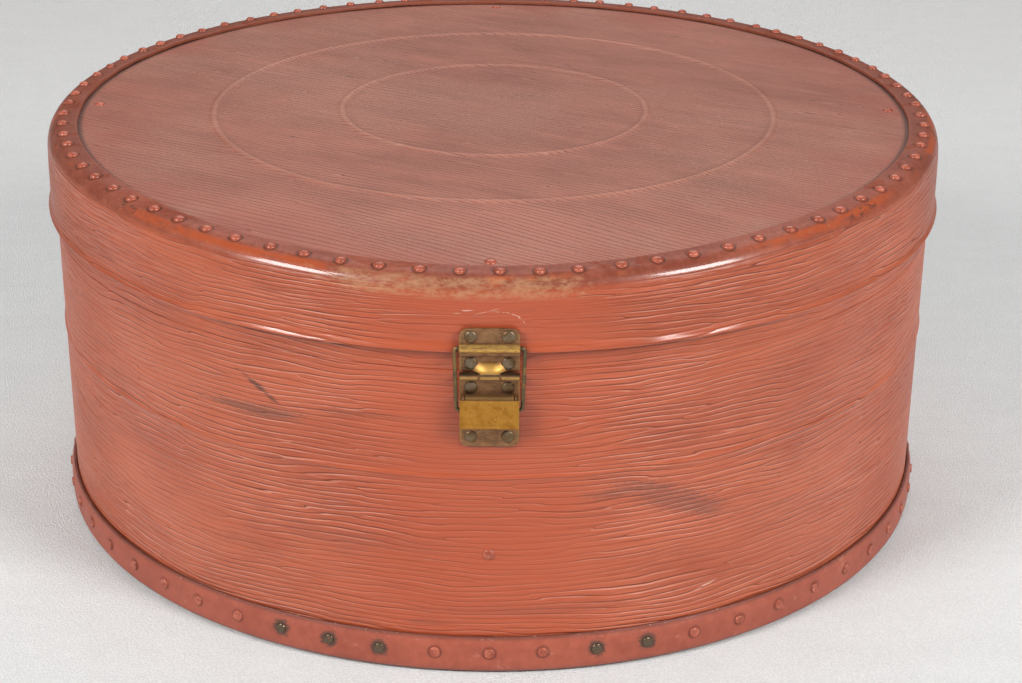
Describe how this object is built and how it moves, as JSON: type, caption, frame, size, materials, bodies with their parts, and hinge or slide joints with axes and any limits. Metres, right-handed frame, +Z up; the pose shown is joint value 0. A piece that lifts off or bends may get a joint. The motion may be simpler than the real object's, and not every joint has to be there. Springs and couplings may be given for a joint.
{
  "type": "round hatbox",
  "caption": "Round hinged hatbox of grained fibre with a riveted rim and bottom, a swelled lid and a brass loop latch",
  "frame": {"origin": "on the box's middle axis, on the underside of the bottom, which is what it rests on", "axes": "+Z up along the middle axis, -Y towards the latch at the front, +X to the right as seen from the front"},
  "size_m": [0.4336, 0.4385, 0.1913],
  "materials": {
    "grained_fibre": "embossed vulcanised fibre, terracotta paint, semi-gloss, worn at the edges",
    "smooth_fibre": "smooth vulcanised fibre, terracotta paint, semi-gloss",
    "lining_board": "matt board",
    "painted_rivet": "painted over, worn",
    "dark_rivet": "dark blue-grey steel",
    "brass": "tarnished"
  },
  "bodies": {
    "box": {"body_wall": "grained_fibre", "bottom_dish": "smooth_fibre", "floor_lining": "lining_board", "latch_base_plate": "brass", "latch_base_rivet_lower_left": "dark_rivet", "latch_base_rivet_lower_right": "dark_rivet", "latch_base_rivet_upper_left": "dark_rivet", "latch_base_rivet_upper_right": "dark_rivet", "latch_lever_pin": "brass", "left_hinge_body_leaf": "brass", "left_hinge_body_rivet_left": "dark_rivet", "left_hinge_body_rivet_right": "dark_rivet", "left_hinge_pin": "brass", "mouth_collar": "smooth_fibre", "right_hinge_body_leaf": "brass", "right_hinge_body_rivet_left": "dark_rivet", "right_hinge_body_rivet_right": "dark_rivet", "right_hinge_pin": "brass", "wall_lining": "lining_board", "wall_rivet_back": "painted_rivet", "wall_rivet_front": "painted_rivet", "wall_rivet_left": "painted_rivet", "wall_rivet_right": "painted_rivet", "wall_washer_back": "dark_rivet", "wall_washer_front": "dark_rivet", "wall_washer_left": "dark_rivet", "wall_washer_right": "dark_rivet"},
    "lid": {"latch_strike_plate": "brass", "latch_strike_rivet_lower_left": "dark_rivet", "latch_strike_rivet_lower_right": "dark_rivet", "latch_strike_rivet_upper_left": "dark_rivet", "latch_strike_rivet_upper_right": "dark_rivet", "left_hinge_lid_leaf": "brass", "left_hinge_lid_rivet_left": "dark_rivet", "left_hinge_lid_rivet_right": "dark_rivet", "lid_band": "grained_fibre", "lid_lining": "lining_board", "lid_panel": "grained_fibre", "panel_rivet_back": "painted_rivet", "panel_rivet_front": "painted_rivet", "panel_rivet_left": "painted_rivet", "panel_rivet_right": "painted_rivet", "panel_washer_back": "dark_rivet", "panel_washer_front": "dark_rivet", "panel_washer_left": "dark_rivet", "panel_washer_right": "dark_rivet", "right_hinge_lid_leaf": "brass", "right_hinge_lid_rivet_left": "dark_rivet", "right_hinge_lid_rivet_right": "dark_rivet"},
    "lever": {"latch_lever": "brass"},
    "wire_loop": {"latch_wire_loop": "brass"}
  },
  "joints": [
    {"name": "lid_hinge", "type": "hinge", "parent": "box", "child": "lid", "pos_m": [0, 0.2159, 0.1427], "axis": [-1, 0, 0], "range_deg": [0, 110]},
    {"name": "lever_hinge", "type": "hinge", "parent": "box", "child": "lever", "pos_m": [0, -0.2165, 0.1315], "axis": [-1, 0, 0], "range_deg": [0, 95]},
    {"name": "loop_hinge", "type": "hinge", "parent": "lid", "child": "wire_loop", "pos_m": [0, -0.2171, 0.1546], "axis": [-1, 0, 0], "range_deg": [0, 170]}
  ]
}
